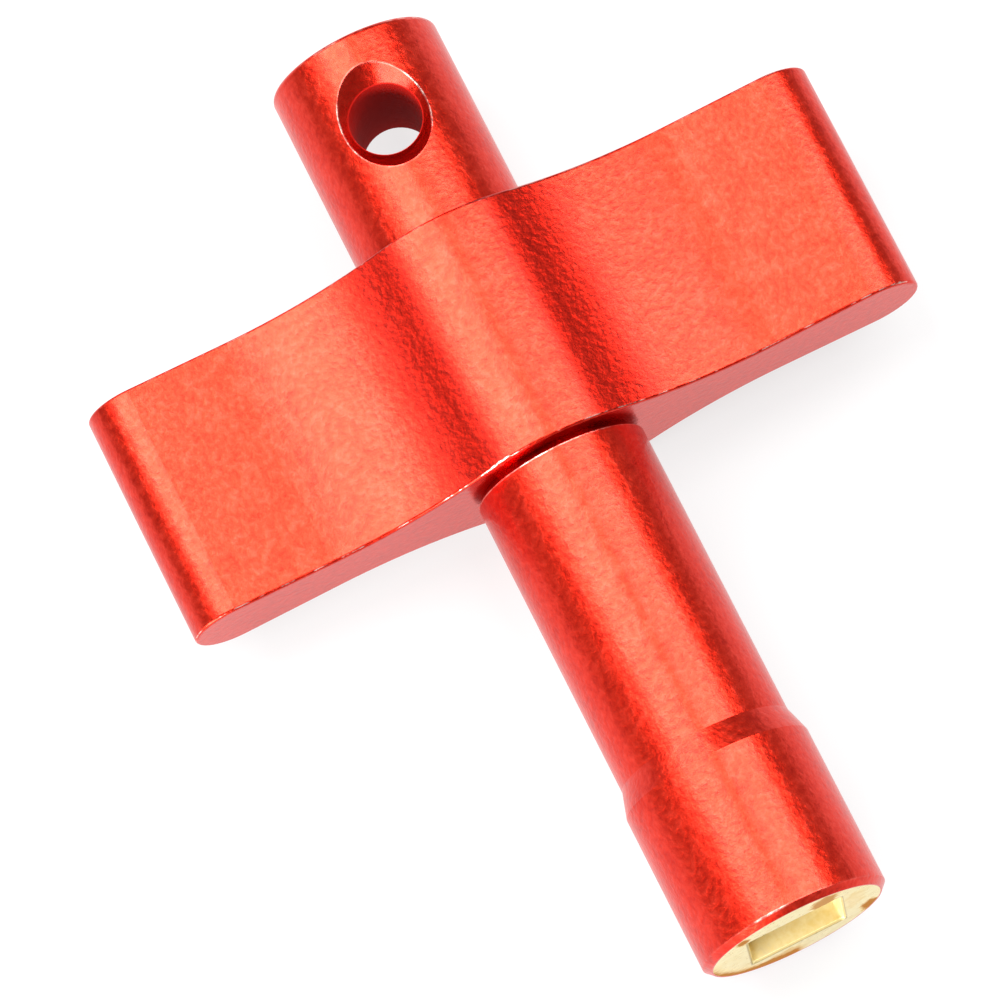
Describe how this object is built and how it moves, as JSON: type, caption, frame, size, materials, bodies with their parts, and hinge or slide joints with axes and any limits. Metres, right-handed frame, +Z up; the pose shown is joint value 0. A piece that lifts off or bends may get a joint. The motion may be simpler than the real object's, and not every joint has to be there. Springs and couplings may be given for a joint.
{
  "type": "wing-handled socket key",
  "caption": "Pocket socket key: round shank with a square socket at one end, bow-tie wings to turn it by, and a cross-drilled post for a lanyard or key ring.",
  "frame": {"origin": "on the ground plane under the middle of the key's overall length and span, with the key lying on its hub", "axes": "+Y along the tool axis from the socket towards the lanyard post, +X along the wings, +Z up, square to the wings"},
  "size_m": [0.0484, 0.0606, 0.0129],
  "materials": {
    "red_anodise": "bead-blasted and anodised red, satin",
    "zinc_plated_steel": "zinc plated",
    "brass": "turned and broached, unpolished"
  },
  "bodies": {
    "root": {"wing_handle": "red_anodise", "lanyard_post": "red_anodise", "shank": "red_anodise", "tie_stud": "zinc_plated_steel", "socket_insert": "brass"}
  },
  "joints": []
}
